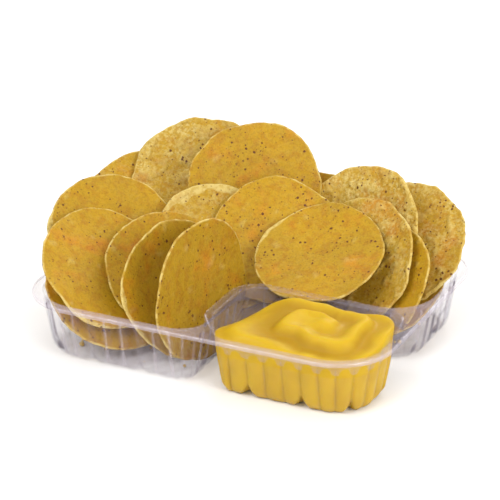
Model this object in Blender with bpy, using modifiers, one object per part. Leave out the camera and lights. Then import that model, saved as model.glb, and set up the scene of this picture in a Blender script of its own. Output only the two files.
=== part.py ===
"""Round corn chips and warm cheese in a clear two-pocket nacho tray.

Metres, +Z up.  The tray stands on Z = 0.  X runs along it, -Y is its front, and the cheese
pocket fills the front right corner.  Sizes and places below are from the tray's middle.
"""
import math
import random

import bmesh
import bpy

MM = 0.001

# The heap leans out over the tray's left and back edges.  This places the tray so that the
# middle of the whole, heap and tray together, is on the Z axis.
TRAY_PLACE = (3 * MM, -2.2 * MM, 0.0)
PLACE_NAME = "tray_place"

# --- tray: driving sizes ---------------------------------------------------------------
TRAY_LENGTH = 203 * MM
TRAY_WIDTH = 160 * MM
TRAY_HEIGHT = 33 * MM        # table to rim
TRAY_CORNER = 32 * MM
SHEET = 0.6 * MM             # thickness of the formed sheet
FLANGE = 5 * MM              # flat rim outside the pockets
LIP_DROP = 1.6 * MM          # turned-down edge of the rim
DRAFT = 5.6 * MM             # lean-in of a pocket wall, rim to foot
FLUTE_PITCH = 9.3 * MM
FLUTE_DEPTH = 1.3 * MM
BAND = 5.5 * MM              # plain band under the rim, above the flutes
FOOT = 5.5 * MM              # height of the rounded foot under the flutes
FOOT_TUCK = 2.6 * MM         # how far the foot rounds in
NOTCH_EVERY = 3              # one arched notch in the foot for each three flutes
NOTCH_DEPTH = 3.2 * MM

# --- cheese pocket and its dam ---------------------------------------------------------
CUP_LEFT = 10 * MM
CUP_BACK = -27 * MM
CUP_FRONT_RIGHT_CORNER = 26 * MM
CUP_CORNER = 11 * MM
DAM_RISE = 9 * MM            # dam above the rim, on the sides next to the chips
DAM_WIDTH = 4.2 * MM
DAM_FOOT = 0.9 * MM
DAM_GAP = 0.4 * MM           # narrowest step from pocket edge to rim
DAM_FRONT_END = 5 * MM       # length over which the dam drops to the rim
DAM_RIGHT_END = 6 * MM
WEB_LEFT = 3 * MM            # edge of the chip pocket beside the cup
WEB_BACK = -6 * MM           # edge of the chip pocket behind the cup
CHIP_POCKET_CORNERS = (28 * MM, 15 * MM, 16 * MM, 24 * MM)   # outer, front, inner, right

# --- cheese ----------------------------------------------------------------------------
CHEESE_GAP = 0.5 * MM        # cheese solid to the pocket's inner face
CHEESE_EDGE = 31.5 * MM      # level at the front wall
CHEESE_SLOPE = 0.19          # rise towards the back
CHEESE_DIP = 12 * MM         # how far the back left corner sinks below that slope
CHEESE_DIP_REACH = 28 * MM   # how far the dip spreads from the left wall
CHEESE_SWIRL = (58 * MM, -52 * MM)
CHEESE_PEAK = 2.5 * MM
CHEESE_FOLD = 1.6 * MM
CHEESE_TURNS = 1.6
CHEESE_RINGS = 8

# --- chips -----------------------------------------------------------------------------
CHIP_THICKNESS = 1.6 * MM
CHIP_GRID = 5

# One chip per line, front to back in each group: its middle in mm, how far it leans back
# from upright and which way it faces (degrees, to the right of the front), its radius in
# mm, and how far its sides and its top and bottom curl forward in mm.
CHIPS = {
    # front fan, left of the cheese
    "chip_front_centre": (-13, -37, 38, 5, 77, 37, 2, 2),
    "chip_front_second": (-28, -32, 34, 22, 64, 36, 3, 2),
    "chip_front_third": (-41, -16, 33, 46, 52, 36, 3, 1),
    "chip_front_left": (-69, -35, 38, 49, 67, 37, 3, 1),
    "chip_front_left_under": (-65, -36, 27, 50, 56, 36, 2, 1),
    "chip_floor_left": (-39, -7, 20, 58, 35, 36, 2, 1),
    # left end
    "chip_left": (-77, -11, 45, 45, 50, 37, 3, 1),
    "chip_left_behind": (-80, -7, 38, 37, 57, 37, 3, 1),
    "chip_back_left": (-75, 32, 46, 47, 39, 37, 3, 1),
    # behind the cheese
    "chip_above_cheese": (33, 14, 46, 65, -3, 35, 2, 3),
    "chip_behind_cheese": (3, 24, 45, 44, 20, 36, 2, 1),
    "chip_tilted": (-26, 14, 39, 44, 40, 37, 2, 2),
    "chip_right_front": (48, 28, 38, 36, -20, 37, 2, 1),
    "chip_right_sliver": (60, 25, 31, 36, -22, 35, 2, 1),
    "chip_right_tucked": (44, 33, 38, 35, -19, 34, 2, 1),
    "chip_right_back": (41, 48, 48, 33, -15, 37, 3, 2),
    "chip_right_end": (62, 55, 42, 49, -4, 37, 2, 1),
    "chip_floor_right": (55, 44, 19, 62, -12, 37, 2, 1),
    # back row and the pile under it
    "chip_top_left": (-56, 51, 60, 43, 21, 37, 3, 2),
    "chip_top": (-21, 48, 62, 34, 24, 37, 3, 1),
    "chip_back_first": (-56, 51, 34, 60, 22, 37, 2, 1),
    "chip_back_second": (-22, 57, 43, 48, 7, 37, 2, 1),
    "chip_back_third": (7, 57, 38, 49, 1, 37, 2, 1),
    "chip_back_fourth": (12, 51, 23, 63, -10, 37, 2, 1),
    "chip_floor_middle": (-48, 25, 16, 69, 19, 37, 2, 1),
    "chip_floor_back_left": (-54, 34, 8, 79, 37, 37, 2, 1),
    "chip_floor_back": (-22, 35, 8, 79, 17, 37, 2, 1),
}


def clear_scene():
    for obj in list(bpy.data.objects):
        bpy.data.objects.remove(obj)


def new_material(name, color, roughness, alpha=1.0, transmission=0.0):
    material = bpy.data.materials.new(name)
    material.use_nodes = True
    shader = material.node_tree.nodes["Principled BSDF"]
    shader.inputs["Base Color"].default_value = (*color, 1.0)
    shader.inputs["Roughness"].default_value = roughness
    shader.inputs["Metallic"].default_value = 0.0
    shader.inputs["Alpha"].default_value = alpha
    shader.inputs["Transmission Weight"].default_value = transmission
    return material


def new_object(name, bm, material, collection):
    mesh = bpy.data.meshes.new(name)
    bm.to_mesh(mesh)
    bm.free()
    mesh.materials.append(material)
    obj = bpy.data.objects.new(name, mesh)
    collection.objects.link(obj)
    obj.parent = collection.objects[PLACE_NAME]
    return obj


def add_solidify(obj, thickness, offset):
    solidify = obj.modifiers.new("Solidify", "SOLIDIFY")
    solidify.thickness = thickness
    solidify.offset = offset
    return solidify


# --- outlines --------------------------------------------------------------------------
class Outline:
    """A closed outline of straight runs and round corners, anticlockwise.

    Every inset of it has the same number of points, so that insets can be lofted.  The
    points come in pairs, a groove and a ridge for each flute.
    """

    def __init__(self, corners, pitch):
        self.corners = corners
        self.counts = []
        for index, (x, y, radius) in enumerate(corners):
            next_x, next_y, next_radius = corners[(index + 1) % len(corners)]
            run = math.hypot(next_x - x, next_y - y) - radius - next_radius
            arc = radius * math.pi / 2
            self.counts.append((2 * max(1, round(arc / pitch)), 2 * max(1, round(run / pitch))))

    def is_hollow(self, index):
        """True where the outline turns right, round a corner of its neighbour."""
        (ax, ay, _), (bx, by, _), (cx, cy, _) = (
            self.corners[(index + step) % len(self.corners)] for step in (-1, 0, 1))
        return (bx - ax) * (cy - by) - (by - ay) * (cx - bx) < 0

    def directions(self, index):
        (ax, ay, _), (bx, by, _), (cx, cy, _) = (
            self.corners[(index + step) % len(self.corners)] for step in (-1, 0, 1))
        before = math.hypot(bx - ax, by - ay)
        after = math.hypot(cx - bx, cy - by)
        return (bx - ax) / before, (by - ay) / before, (cx - bx) / after, (cy - by) / after

    def points(self, inset):
        """Points and outward directions of the outline moved in by inset."""
        arcs = []
        for index, (x, y, radius) in enumerate(self.corners):
            in_x, in_y, out_x, out_y = self.directions(index)
            side = -1 if self.is_hollow(index) else 1
            inner = radius - side * inset
            corner_x = x + inset * (-in_y - out_y)
            corner_y = y + inset * (in_x + out_x)
            middle_x = corner_x + inner * (out_x - in_x)
            middle_y = corner_y + inner * (out_y - in_y)
            start = math.atan2(in_y - out_y + 0.0, in_x - out_x + 0.0) - side * math.pi / 4
            steps = self.counts[index][0]
            arc = []
            for step in range(steps):
                angle = start + side * math.pi / 2 * step / steps
                normal = (math.cos(angle), math.sin(angle))
                place = (middle_x + inner * normal[0], middle_y + inner * normal[1])
                arc.append((place, (side * normal[0], side * normal[1])))
            end = (middle_x + inner * math.cos(start + side * math.pi / 2),
                   middle_y + inner * math.sin(start + side * math.pi / 2))
            arcs.append((arc, end, (out_y, -out_x)))
        result = []
        for index, (arc, end, normal) in enumerate(arcs):
            result.extend(arc)
            target = arcs[(index + 1) % len(arcs)][0][0][0]
            steps = self.counts[index][1]
            for step in range(steps):
                share = step / steps
                result.append(((end[0] + share * (target[0] - end[0]),
                                end[1] + share * (target[1] - end[1])), normal))
        return result


# --- tray ------------------------------------------------------------------------------
def cup_outline():
    right = TRAY_LENGTH / 2 - FLANGE
    front = -TRAY_WIDTH / 2 + FLANGE
    return Outline(((CUP_LEFT, front, CUP_CORNER), (right, front, CUP_FRONT_RIGHT_CORNER),
                    (right, CUP_BACK, CUP_CORNER), (CUP_LEFT, CUP_BACK, CUP_CORNER)), FLUTE_PITCH)


def chip_pocket_outline():
    right = TRAY_LENGTH / 2 - FLANGE
    back = TRAY_WIDTH / 2 - FLANGE
    outer, front, inner, beside = CHIP_POCKET_CORNERS
    return Outline(((-right, -back, outer), (WEB_LEFT, -back, front), (WEB_LEFT, WEB_BACK, inner),
                    (right, WEB_BACK, beside), (right, back, outer), (-right, back, outer)),
                   FLUTE_PITCH)


def rim_outline():
    right = TRAY_LENGTH / 2
    back = TRAY_WIDTH / 2
    corners = ((-right, -back), (right, -back), (right, back), (-right, back))
    return Outline([(x, y, TRAY_CORNER) for x, y in corners], 2 * FLUTE_PITCH)


def ramp(value, start, length):
    return min(1.0, max(0.0, (value - start) / length))


def dam_share(x, y):
    """1 on the dam, 0 where the cup's edge is plain rim, sloping at the dam's two ends."""
    if x < CUP_LEFT + 2 * CUP_CORNER:
        return ramp(y, -TRAY_WIDTH / 2 + FLANGE + DAM_FRONT_END / 2, DAM_FRONT_END)
    return ramp(y, CUP_BACK - CUP_CORNER, DAM_RIGHT_END)


def wall_inset(height):
    """How far a pocket wall stands inside the pocket's rim at a height."""
    if height >= FOOT:
        return DRAFT * (1 - min(height, TRAY_HEIGHT) / TRAY_HEIGHT)
    return DRAFT * (1 - FOOT / TRAY_HEIGHT) + (FOOT_TUCK + DRAFT * FOOT / TRAY_HEIGHT) * (1 - height / FOOT)


def wall_ring(outline, height, flute, clearance=0.0):
    """One level of a fluted pocket wall; the foot is notched between groups of flutes."""
    notch = (NOTCH_DEPTH + clearance) * (1 - ramp(height, 0.0, FOOT))
    ring = []
    points = outline.points(wall_inset(height) + clearance)
    for index, ((x, y), (normal_x, normal_y)) in enumerate(points):
        push = flute * FLUTE_DEPTH * (index % 2)
        if index % (2 * NOTCH_EVERY) == 0:
            push -= notch
        ring.append((x + push * normal_x, y + push * normal_y, height))
    return ring


def dam_rings(outline):
    """The hollow dam round the cup: its outer foot, its outer edge and its inner edge."""
    rim = TRAY_HEIGHT - SHEET
    steps = ((DAM_GAP, DAM_WIDTH + DAM_FOOT, 0.0), (DAM_GAP / 2, DAM_WIDTH, DAM_RISE), (0.0, 0.0, DAM_RISE))
    rings = []
    for gap, reach, rise in steps:
        ring = []
        for (x, y), (normal_x, normal_y) in outline.points(0.0):
            share = dam_share(x, y)
            push = gap + reach * share
            ring.append((x + push * normal_x, y + push * normal_y, rim + rise * share))
        rings.append(ring)
    return rings


def pocket_walls(outline):
    levels = ((TRAY_HEIGHT - BAND, 0.2), (FOOT, 1.0), (0.0, 0.35))
    return [wall_ring(outline, height, flute) for height, flute in levels]


def loft(bm, rings, turned=False):
    """Triangles between matching rings; returns the vertices of each ring.

    Each quad is split from its upper groove to its lower ridge, so a notch comes out as an
    arch and the cheese's wall runs parallel to the tray's.
    """
    levels = [[bm.verts.new(place) for place in ring] for ring in rings]
    for upper, lower in zip(levels, levels[1:]):
        for index in range(len(upper)):
            following = (index + 1) % len(upper)
            quad = (upper[index], lower[index], lower[following], upper[following])
            start = index % 2
            for step in (1, 2):
                triangle = (quad[start], quad[start + step], quad[(start + step + 1) % 4])
                bm.faces.new(triangle[::-1] if turned else triangle)
    return levels


def ring_edges(bm, ring):
    return [bm.edges.get((ring[index - 1], ring[index])) for index in range(len(ring))]


def fill_flat(bm, rings):
    """Fill level ground between rings, facing down."""
    edges = [edge for ring in rings for edge in ring_edges(bm, ring)]
    filled = bmesh.ops.triangle_fill(bm, use_beauty=True, edges=edges)
    for face in filled["geom"]:
        if isinstance(face, bmesh.types.BMFace) and face.normal.z > 0:
            face.normal_flip()


def build_tray(collection):
    """The underside of the formed sheet, thickened upwards."""
    bm = bmesh.new()
    rim = TRAY_HEIGHT - SHEET
    cup = cup_outline()
    chip_pocket = chip_pocket_outline()
    outer = rim_outline()
    edge = [(x, y, rim) for (x, y), _ in outer.points(SHEET)]
    lip = [(x, y, rim - LIP_DROP) for (x, y), _ in outer.points(SHEET / 2)]
    edge_ring, _ = loft(bm, [edge, lip], turned=True)
    cup_levels = loft(bm, dam_rings(cup) + pocket_walls(cup))
    pocket_edge = [(x, y, rim) for (x, y), _ in chip_pocket.points(0.0)]
    pocket_levels = loft(bm, [pocket_edge] + pocket_walls(chip_pocket))
    fill_flat(bm, [edge_ring, cup_levels[0], pocket_levels[0]])
    fill_flat(bm, [cup_levels[-1]])
    fill_flat(bm, [pocket_levels[-1]])
    material = new_material("Clear tray plastic", (0.86, 0.84, 0.88), 0.12, alpha=0.35, transmission=0.9)
    tray = new_object("tray", bm, material, collection)
    add_solidify(tray, SHEET, -1.0)
    return tray


# --- cheese ----------------------------------------------------------------------------
def cheese_level(x, y, reach):
    """Height of the cheese; reach is 0 at the swirl's tip and 1 at the pocket wall."""
    front = -TRAY_WIDTH / 2 + FLANGE
    level = CHEESE_EDGE + CHEESE_SLOPE * (y - front)
    leftness = 1 - ramp(x, CUP_LEFT, CHEESE_DIP_REACH)
    level -= CHEESE_DIP * leftness * ramp(y, front + CUP_CORNER, CUP_BACK - front - CUP_CORNER)
    angle = math.atan2(y - CHEESE_SWIRL[1], x - CHEESE_SWIRL[0])
    fold = CHEESE_FOLD * math.sin(angle + CHEESE_TURNS * math.tau * reach)
    return level + CHEESE_PEAK * (1 - reach) ** 1.5 + fold * math.sin(math.pi * min(1.0, reach + 0.15))


def build_cheese(collection):
    bm = bmesh.new()
    cup = cup_outline()
    clearance = SHEET + CHEESE_GAP
    rings = [wall_ring(cup, TRAY_HEIGHT - BAND, 0.2, clearance), wall_ring(cup, FOOT, 1.0, clearance),
             wall_ring(cup, clearance, 0.35, 2.4 * clearance)]
    edge = [place for place, _ in cup.points(clearance + wall_inset(TRAY_HEIGHT - BAND))]
    centre = CHEESE_SWIRL
    top = []
    for step in range(CHEESE_RINGS):
        reach = 1 - step / CHEESE_RINGS
        ring = []
        for x, y in edge:
            place_x = centre[0] + reach * (x - centre[0])
            place_y = centre[1] + reach * (y - centre[1])
            ring.append((place_x, place_y, cheese_level(place_x, place_y, reach)))
        top.append(ring)
    levels = loft(bm, top[::-1] + rings)
    tip = bm.verts.new((*centre, cheese_level(*centre, 0.0)))
    innermost = levels[0]
    for index in range(len(innermost)):
        bm.faces.new((innermost[index - 1], innermost[index], tip))
    fill_flat(bm, [levels[-1]])
    material = new_material("Nacho cheese", (0.80, 0.52, 0.04), 0.35)
    return new_object("cheese", bm, material, collection)


# --- chips -----------------------------------------------------------------------------
def build_chip(name, placing, seed, material, collection):
    """A thin round chip with an uneven edge and a gentle curl, leaning back as given."""
    x, y, z, lean, turn, radius, side_curl, end_curl = placing
    wander = random.Random(seed)
    phases = [wander.uniform(0, math.tau) for _ in range(2)]
    bm = bmesh.new()
    bmesh.ops.create_grid(bm, x_segments=CHIP_GRID, y_segments=CHIP_GRID, size=1.0)
    for vert in bm.verts:
        across, along = vert.co.x, vert.co.y
        u = across * math.sqrt(1 - along * along / 2)
        v = along * math.sqrt(1 - across * across / 2)
        angle = math.atan2(v, u)
        uneven = 1 + 0.012 * math.sin(2 * angle + phases[0]) + 0.01 * math.sin(3 * angle + phases[1])
        vert.co.x = u * radius * MM * uneven
        vert.co.y = v * radius * MM * uneven
        vert.co.z = (side_curl * u * u + end_curl * v * v) * MM
    chip = new_object(name, bm, material, collection)
    chip.location = (x * MM, y * MM, z * MM)
    chip.rotation_euler = (math.radians(90 - lean), 0.0, math.radians(turn))
    add_solidify(chip, CHIP_THICKNESS, 0.0)
    return chip


def main():
    clear_scene()
    collection = bpy.data.collections.new("Nachos with cheese")
    bpy.context.scene.collection.children.link(collection)
    place = bpy.data.objects.new(PLACE_NAME, None)
    place.location = TRAY_PLACE
    collection.objects.link(place)
    build_tray(collection)
    build_cheese(collection)
    corn = new_material("Corn chip", (0.62, 0.40, 0.09), 0.7)
    for seed, (name, placing) in enumerate(CHIPS.items()):
        build_chip(name, placing, seed, corn, collection)


main()
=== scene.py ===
"""Nachos with cheese in a clear two-pocket tray: the fine tray, cheese, chips and crumbs.

Metres, +Z up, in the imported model's own frame.  Each piece takes its place from the node
that it stands for, and the outline of the tray is worked out from the tray node's box.
"""
import math
import random

import bmesh
import bpy
import numpy as np
from bpy.props import (FloatProperty, FloatVectorProperty, IntProperty, PointerProperty)
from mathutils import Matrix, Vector


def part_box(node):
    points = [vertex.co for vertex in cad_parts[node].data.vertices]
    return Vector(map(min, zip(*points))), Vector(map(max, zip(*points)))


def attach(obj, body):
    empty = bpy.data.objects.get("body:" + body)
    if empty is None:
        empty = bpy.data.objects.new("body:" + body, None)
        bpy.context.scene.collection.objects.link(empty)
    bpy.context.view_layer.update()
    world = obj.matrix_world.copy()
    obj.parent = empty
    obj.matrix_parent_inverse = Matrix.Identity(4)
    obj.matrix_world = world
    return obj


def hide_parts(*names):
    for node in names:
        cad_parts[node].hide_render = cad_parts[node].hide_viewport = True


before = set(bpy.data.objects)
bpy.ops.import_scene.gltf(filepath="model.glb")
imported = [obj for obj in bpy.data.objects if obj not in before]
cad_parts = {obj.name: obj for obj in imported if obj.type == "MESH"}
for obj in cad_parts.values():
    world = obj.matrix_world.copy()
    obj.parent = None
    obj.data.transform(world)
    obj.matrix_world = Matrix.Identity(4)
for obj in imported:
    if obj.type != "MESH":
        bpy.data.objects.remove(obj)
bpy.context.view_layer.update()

bl_info = {
    "name": "Nachos with Cheese",
    "version": (1, 0, 0),
    "blender": (4, 5, 0),
    "location": "View3D > Sidebar > Nachos",
    "description": "Corn chips and warm cheese in a clear two-pocket tray",
    "category": "Object",
}

MM = 0.001
TRAY_LOW, TRAY_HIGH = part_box("tray")
MIDDLE = (TRAY_LOW + TRAY_HIGH) / 2
CHIP_NODES = sorted(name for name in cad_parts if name.startswith("chip_"))


# --- settings ---------------------------------------------
def length(name, description, millimetres):
    return FloatProperty(name=name, description=description, default=millimetres * MM,
                         min=0.0, unit="LENGTH", precision=5)


def colour(name, description, value):
    return FloatVectorProperty(name=name, description=description, default=value, size=3,
                               min=0.0, max=1.0, subtype="COLOR")


class TraySettings(bpy.types.PropertyGroup):
    height: length("Height", "From the table to the rim", 33)
    corner: length("Corner", "Radius of the rim's corners", 32)
    sheet: length("Sheet", "Thickness of the formed sheet", 0.6)
    flange: length("Flange", "Flat rim outside the pockets", 5)
    draft: length("Draft", "Lean-in of a pocket wall from rim to foot", 5.6)
    flute_pitch: length("Flute pitch", "Distance between two grooves in a pocket wall", 9.3)
    flute_depth: length("Flute depth", "How far a flute bulges out", 1.9)
    band: length("Band", "Plain band above the chip pocket's flutes", 4)
    cup_band: length("Cup band", "Plain band above the cheese pocket's flutes", 9.5)
    flute_arch: length("Flute arch", "How far a flute's top rises at its middle", 1.2)
    shoulder: length("Shoulder", "Step in from the band to the flutes", 0.9)
    foot: length("Foot", "Height of the rounded foot", 5.5)
    foot_tuck: length("Foot tuck", "How far the foot rounds in", 2.6)
    notch_depth: length("Notch depth", "Depth of the notches in the chip pocket's foot", 1.6)
    cup_notch: length("Cup notch", "Depth of the notches in the cheese pocket's foot", 4.8)
    notch_height: length("Notch height", "From the table to the top of a notch", 7.5)
    notch_every: IntProperty(name="Notch every", description="Flutes from one notch to the next",
                             default=3, min=1)
    cup_left: length("Cup left", "Left edge of the cheese pocket, from the tray's middle", 10)
    cup_depth: length("Cup depth", "From the front to the back edge of the cheese pocket", 48)
    dam_rise: length("Dam rise", "Height of the dam above the rim", 9)
    dam_width: length("Dam width", "Width of the dam's top", 4.2)
    veil: colour("Veil", "Grey-lilac cast of the clear walls", (0.55, 0.49, 0.63))
    frost: colour("Frost", "Cast of the flat rim", (0.52, 0.45, 0.51))
    # Pale edges: the colour of the painted highlights along the grooves, rim edges and dam top
    pale: colour("Pale edges", "Glinting creases and rim edges", (0.88, 0.79, 0.80))


class CheeseSettings(bpy.types.PropertyGroup):
    edge: length("Edge level", "Height of the cheese at the front wall", 31.3)
    slope: FloatProperty(name="Slope", description="Rise of the cheese towards the back",
                         default=0.18, min=0.0, max=1.0, subtype="FACTOR")
    dip: length("Dip", "How far the back left corner sinks below that slope", 12)
    dip_reach: length("Dip reach", "How far the dip spreads from the left wall", 28)
    peak: length("Peak", "Height of the swirl above the rest", 3.2)
    fold: length("Fold", "Height of one fold of the swirl", 4.2)
    turns: FloatProperty(name="Turns", description="Turns of the swirl", default=1.9, min=0.5)
    tip: length("Tip", "Height of the swirl's tip", 1.6)
    tip_width: length("Tip width", "Spread of the swirl's tip", 4.5)
    base: colour("Colour", "Colour of the cheese", (0.545, 0.345, 0.009))
    # Painted shade: the cheese is darker down in its folds and on its sides
    fold_shade_colour: colour("Shaded colour", "Colour of the cheese down in the folds", (0.40, 0.225, 0.007))


class ChipSettings(bpy.types.PropertyGroup):
    thickness: length("Thickness", "Thickness of a chip", 1.5)
    blister: length("Blister height", "Height of the fried blisters", 0.9)
    blister_size: length("Blister size", "Width of the fried blisters", 7)
    pebble: length("Pebble height", "Height of the fine pebbling", 0.28)
    pebble_size: length("Pebble size", "Width of the fine pebbling", 2.2)
    ripple: length("Ripple", "Height of the slow waves across a chip", 0.8)
    warp: length("Warp", "How far the rim waves up and down", 0.75)
    golden: colour("Golden", "Main colour of the fried corn", (0.455, 0.255, 0.004))
    olive: colour("Olive", "Duller and greener corn", (0.400, 0.232, 0.008))
    toasted: colour("Toasted", "Toasted orange patches", (0.51, 0.205, 0.006))
    cream: colour("Cream", "Pale rims and blisters", (0.64, 0.50, 0.165))
    speck: colour("Specks", "Dark specks of corn skin", (0.100, 0.028, 0.006))


class CrumbSettings(bpy.types.PropertyGroup):
    density: FloatProperty(name="Density", description="Crumbs for each square metre of floor",
                           default=7000.0, min=0.0)
    smallest: length("Smallest", "Radius of the smallest crumb", 0.35)
    largest: length("Largest", "Radius of the largest crumb", 1.5)
    seed: IntProperty(name="Seed", description="Changes where the crumbs fall", default=5)


class StageSettings(bpy.types.PropertyGroup):
    azimuth: FloatProperty(name="Azimuth", description="Camera's turn to the right of the front",
                           default=math.radians(25.58), subtype="ANGLE")
    elevation: FloatProperty(name="Elevation", description="Camera's height above the table",
                             default=math.radians(23.54), subtype="ANGLE")
    distance: FloatProperty(name="Distance", description="Camera to object", default=1.3, unit="LENGTH")
    lens: FloatProperty(name="Lens", description="Focal length in millimetres", default=176.5)
    floor: colour("Floor", "Colour of the floor", (0.90, 0.90, 0.90))


# --- meshes -----------------------------------------------
def smooth_step(value):
    value = np.clip(value, 0.0, 1.0)
    return value * value * (3 - 2 * value)


def new_object(name, data):
    piece = bpy.data.objects.new(name, data)
    bpy.context.scene.collection.objects.link(piece)
    return piece


def finished_mesh(bm, name):
    """A mesh of what bm holds; bm is freed."""
    mesh = bpy.data.meshes.new(name)
    bm.to_mesh(mesh)
    bm.free()
    return mesh


def made_plain(piece, name):
    """A plain mesh object of what the modifiers of piece make; piece itself is removed."""
    graph = bpy.context.evaluated_depsgraph_get()
    mesh = bpy.data.meshes.new_from_object(piece.evaluated_get(graph), depsgraph=graph,
                                           preserve_all_data_layers=True)
    bpy.data.objects.remove(piece)
    mesh.name = name
    return new_object(name, mesh)


def hand_in(piece, slot, *nodes):
    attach(piece, "root")
    if nodes:
        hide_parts(*nodes)


def add_ring(bm, ring):
    return [bm.verts.new(place) for place in ring]


def loft(bm, rings, turned=False):
    """Quads between matching rings; returns the vertices of each ring."""
    levels = [add_ring(bm, ring) for ring in rings]
    for upper, lower in zip(levels, levels[1:]):
        for index in range(len(upper)):
            quad = (upper[index - 1], lower[index - 1], lower[index], upper[index])
            bm.faces.new(quad[::-1] if turned else quad)
    return levels


def mark(bm, rings, name, rows):
    """Writes a vertex attribute ring by ring; a row is one number or one for each vertex."""
    layer = bm.verts.layers.float[name]
    for ring, row in zip(rings, rows):
        for vert, value in zip(ring, np.broadcast_to(row, len(ring))):
            vert[layer] = float(value)


def fill_flat(bm, rings):
    """Level ground between rings, facing down."""
    pairs = [(ring[index - 1], ring[index]) for ring in rings for index in range(len(ring))]
    edges = [bm.edges.get(pair) for pair in pairs]
    for face in bmesh.ops.triangle_fill(bm, use_beauty=True, edges=edges)["geom"]:
        if isinstance(face, bmesh.types.BMFace) and face.normal.z > 0:
            face.normal_flip()


# --- material nodes ---------------------------------------
class Shader:
    """A material's node tree, with short ways to add what these finishes need."""

    def __init__(self, name):
        self.material = bpy.data.materials.new(name)
        self.material.use_nodes = True
        self.nodes = self.material.node_tree.nodes
        self.links = self.material.node_tree.links
        self.surface = self.nodes["Principled BSDF"]
        self.place = self.nodes.new("ShaderNodeTexCoord").outputs["Object"]

    def plug(self, value, socket):
        if isinstance(value, bpy.types.NodeSocket):
            self.links.new(value, socket)
        else:
            socket.default_value = value

    def moved(self, *shift):
        """Places on the piece, moved by shift so that each pattern is its own draw."""
        mapping = self.nodes.new("ShaderNodeMapping")
        mapping.inputs["Location"].default_value = shift
        self.links.new(self.place, mapping.inputs["Vector"])
        return mapping.outputs["Vector"]

    def noise(self, size, detail=2.0, shift=0.0, roughness=0.5):
        """Noise with blobs of about a size in metres; shift gives another draw."""
        texture = self.nodes.new("ShaderNodeTexNoise")
        self.links.new(self.moved(shift, 0.37 * shift, -0.61 * shift), texture.inputs["Vector"])
        texture.inputs["Scale"].default_value = 1 / size
        texture.inputs["Detail"].default_value = detail
        texture.inputs["Roughness"].default_value = roughness
        return texture.outputs["Fac"]

    def cells(self, size, shift=0.0):
        """Distance to the middle of each cell, in cells, and a random value for each cell."""
        texture = self.nodes.new("ShaderNodeTexVoronoi")
        self.links.new(self.moved(shift, -0.53 * shift, 0.29 * shift), texture.inputs["Vector"])
        texture.inputs["Scale"].default_value = 1 / size
        split = self.nodes.new("ShaderNodeSeparateColor")
        self.links.new(texture.outputs["Color"], split.inputs["Color"])
        return texture.outputs["Distance"], split.outputs["Red"]

    def ranged(self, value, low, high, to_low=0.0, to_high=1.0, shape="SMOOTHSTEP"):
        node = self.nodes.new("ShaderNodeMapRange")
        node.interpolation_type = shape
        self.plug(value, node.inputs["Value"])
        limits = {"From Min": low, "From Max": high, "To Min": to_low, "To Max": to_high}
        for name, limit in limits.items():
            self.plug(limit, node.inputs[name])
        return node.outputs["Result"]

    def math(self, operation, first, second=0.0):
        node = self.nodes.new("ShaderNodeMath")
        node.operation = operation
        self.plug(first, node.inputs[0])
        self.plug(second, node.inputs[1])
        return node.outputs["Value"]

    def mix(self, factor, first, second, blend="MIX"):
        node = self.nodes.new("ShaderNodeMix")
        node.data_type = "RGBA"
        node.blend_type = blend
        self.plug(factor, node.inputs[0])
        for value, socket in ((first, node.inputs[6]), (second, node.inputs[7])):
            self.plug(value if isinstance(value, bpy.types.NodeSocket) else (*value, 1.0), socket)
        return node.outputs[2]

    def attribute(self, name):
        node = self.nodes.new("ShaderNodeAttribute")
        node.attribute_name = name
        return node.outputs["Fac"]

    def bump(self, height, strength, distance):
        node = self.nodes.new("ShaderNodeBump")
        self.plug(height, node.inputs["Height"])
        node.inputs["Strength"].default_value = strength
        node.inputs["Distance"].default_value = distance
        self.links.new(node.outputs["Normal"], self.surface.inputs["Normal"])

    def finish(self, **values):
        for name, value in values.items():
            value = (*value, 1.0) if isinstance(value, tuple) else value
            self.plug(value, self.surface.inputs[name.replace("_", " ")])
        return self.material


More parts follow.
